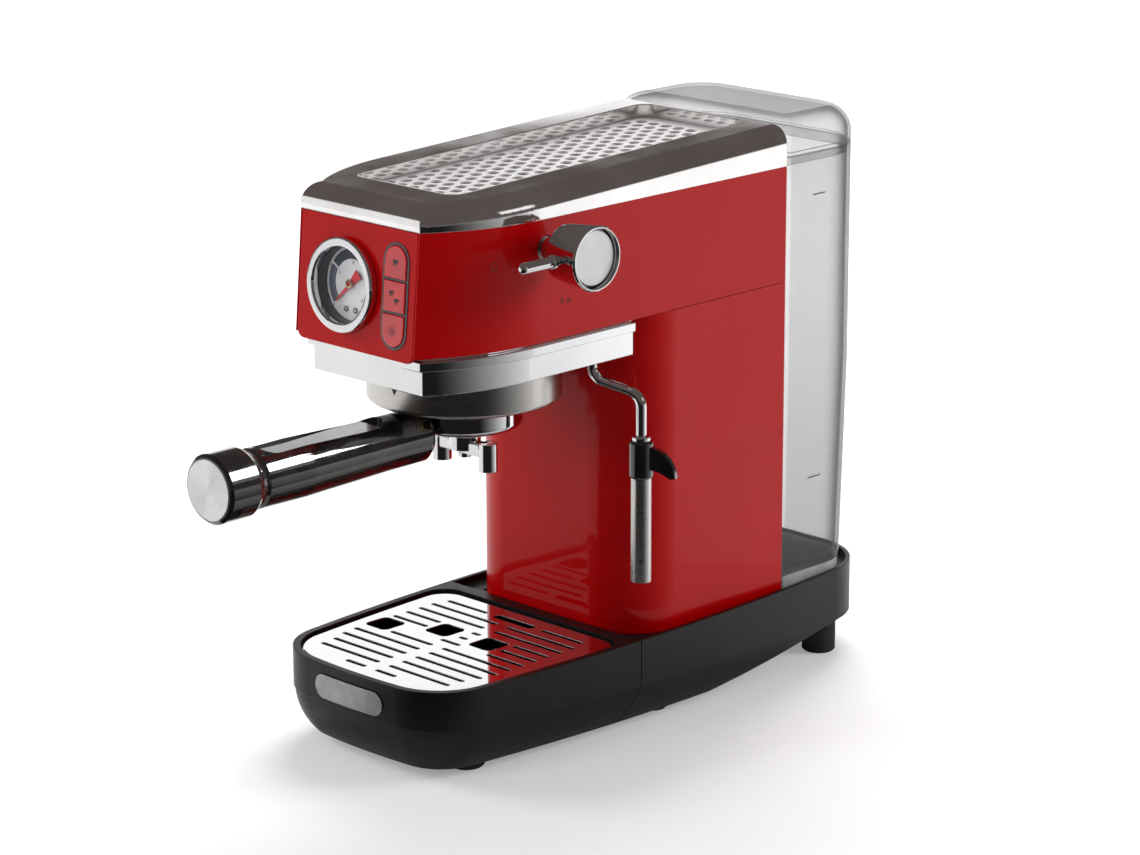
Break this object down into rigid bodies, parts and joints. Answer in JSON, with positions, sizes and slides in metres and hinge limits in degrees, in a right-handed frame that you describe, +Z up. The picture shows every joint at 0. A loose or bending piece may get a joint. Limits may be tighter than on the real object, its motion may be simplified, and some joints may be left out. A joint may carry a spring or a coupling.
{
  "type": "espresso machine",
  "caption": "Slim pump espresso machine with pressure gauge, push buttons, steam knob and wand, bayonet filter holder, slide-out drip tray and lift-off rear water tank",
  "frame": {"origin": "on the worktop, under the centre of the foot's plan", "axes": "+X towards the steam knob and wand, -Y out of the front, +Z up"},
  "size_m": [0.1847, 0.4647, 0.3298],
  "materials": {
    "red_paint": "high gloss red enamel",
    "red_plastic": "glossy red push buttons",
    "black_base": "satin black moulded plastic",
    "black_gloss": "gloss black phenolic",
    "black_float": "matt black",
    "chrome": "mirror chrome plating",
    "polished_steel": "polished stainless steel",
    "brushed_steel": "brushed stainless steel",
    "spun_aluminium": "spun disc with a radial sheen",
    "smoked_clear": "smoked transparent plastic",
    "gauge_glass": "clear flat glass",
    "rubber": "black rubber",
    "badge_metal": "blank badge with a bright rim",
    "dial_print": "printed dial with numbers",
    "needle_red": "red lacquer",
    "brass": "machined brass",
    "cast_alloy": "die-cast alloy",
    "copper_pipe": "copper pipe",
    "hose": "translucent silicone hose",
    "board": "circuit board",
    "pump_case": "moulded nylon and wound coil",
    "screw_steel": "zinc plated screws"
  },
  "bodies": {
    "machine": {"base_chassis": "black_base", "base_plate": "black_base", "housing_screws": "screw_steel", "middle_feet": "rubber", "rear_feet": "rubber", "mains_gland": "black_base", "column_shell": "red_paint", "head_shell": "red_paint", "front_panel": "red_paint", "back_panel": "black_base", "top_cover": "chrome", "cup_plate": "brushed_steel", "collar_bar": "chrome", "collar_trim": "chrome", "group_ring": "brushed_steel", "group_head": "brass", "group_seal": "rubber", "shower_screen": "brushed_steel", "gauge_housing": "black_base", "gauge_bezel": "chrome", "gauge_dial": "dial_print", "gauge_glass": "gauge_glass", "gauge_pipe": "copper_pipe", "button_frame": "black_gloss", "control_board": "board", "steam_valve": "brass", "steam_pipe": "copper_pipe", "heating_block": "cast_alloy", "pump": "pump_case", "pump_mounts": "rubber", "suction_hose": "hose", "pressure_pipe": "copper_pipe", "tank_socket": "black_base"},
    "tray": {"drip_tray": "black_base", "tray_feet": "rubber", "tray_badge": "badge_metal"},
    "grille": {"drip_grille": "polished_steel"},
    "float": {"overflow_float": "black_float"},
    "holder": {"filter_holder": "chrome", "filter_basket": "brushed_steel", "filter_handle": "black_gloss", "handle_disc": "spun_aluminium", "spout": "chrome", "spout_screw": "chrome"},
    "needle": {"gauge_needle": "needle_red"},
    "button_upper": {"button_one_cup": "red_plastic"},
    "button_middle": {"button_two_cups": "red_plastic"},
    "button_lower": {"button_steam": "red_plastic"},
    "knob": {"steam_knob": "chrome", "knob_disc": "spun_aluminium", "knob_lever": "chrome", "valve_spindle": "brass"},
    "wand": {"wand_tube": "chrome", "wand_nut": "chrome", "wand_grip": "black_gloss"},
    "sleeve": {"frothing_sleeve": "brushed_steel"},
    "tank": {"water_tank": "smoked_clear"},
    "lid": {"tank_lid": "smoked_clear"},
    "valve": {"tank_valve": "black_float"}
  },
  "joints": [
    {"name": "tray_slide", "type": "slide", "parent": "machine", "child": "tray", "axis": [0, -1, 0], "range_m": [0, 0.15]},
    {"name": "grille_lift", "type": "slide", "parent": "tray", "child": "grille", "axis": [0, 0, 1], "range_m": [0, 0.03]},
    {"name": "float_rise", "type": "slide", "parent": "tray", "child": "float", "axis": [0, 0, 1], "range_m": [0, 0.008]},
    {"name": "holder_turn", "type": "hinge", "parent": "machine", "child": "holder", "pos_m": [0, -0.0987, 0.19], "axis": [0, 0, 1], "range_deg": [-45, 0]},
    {"name": "needle_turn", "type": "hinge", "parent": "machine", "child": "needle", "pos_m": [-0.0095, -0.17716, 0.268], "axis": [0, 0.9964, -0.0853], "range_deg": [0, 270], "stiffness_Nm_per_rad": 0.001},
    {"name": "upper_press", "type": "slide", "parent": "machine", "child": "button_upper", "axis": [0, 0.9964, -0.0853], "range_m": [0, 0.0015], "stiffness_N_per_m": 400},
    {"name": "middle_press", "type": "slide", "parent": "machine", "child": "button_middle", "axis": [0, 0.9964, -0.0853], "range_m": [0, 0.0015], "stiffness_N_per_m": 400},
    {"name": "lower_press", "type": "slide", "parent": "machine", "child": "button_lower", "axis": [0, 0.9964, -0.0853], "range_m": [0, 0.0015], "stiffness_N_per_m": 400},
    {"name": "knob_turn", "type": "hinge", "parent": "machine", "child": "knob", "pos_m": [0.09, -0.1029, 0.288], "axis": [1, 0, 0], "range_deg": [0, 110]},
    {"name": "wand_swing", "type": "hinge", "parent": "machine", "child": "wand", "pos_m": [0.051, -0.05, 0.2214], "axis": [0, 0, 1], "range_deg": [-70, 18]},
    {"name": "sleeve_pull", "type": "slide", "parent": "wand", "child": "sleeve", "axis": [0, 0, -1], "range_m": [0, 0.03]},
    {"name": "tank_lift", "type": "slide", "parent": "machine", "child": "tank", "axis": [0, 0, 1], "range_m": [0, 0.06]},
    {"name": "lid_lift", "type": "slide", "parent": "tank", "child": "lid", "axis": [0, 0, 1], "range_m": [0, 0.04]},
    {"name": "valve_rise", "type": "slide", "parent": "tank", "child": "valve", "axis": [0, 0, 1], "range_m": [0, 0.002], "stiffness_N_per_m": 100}
  ]
}
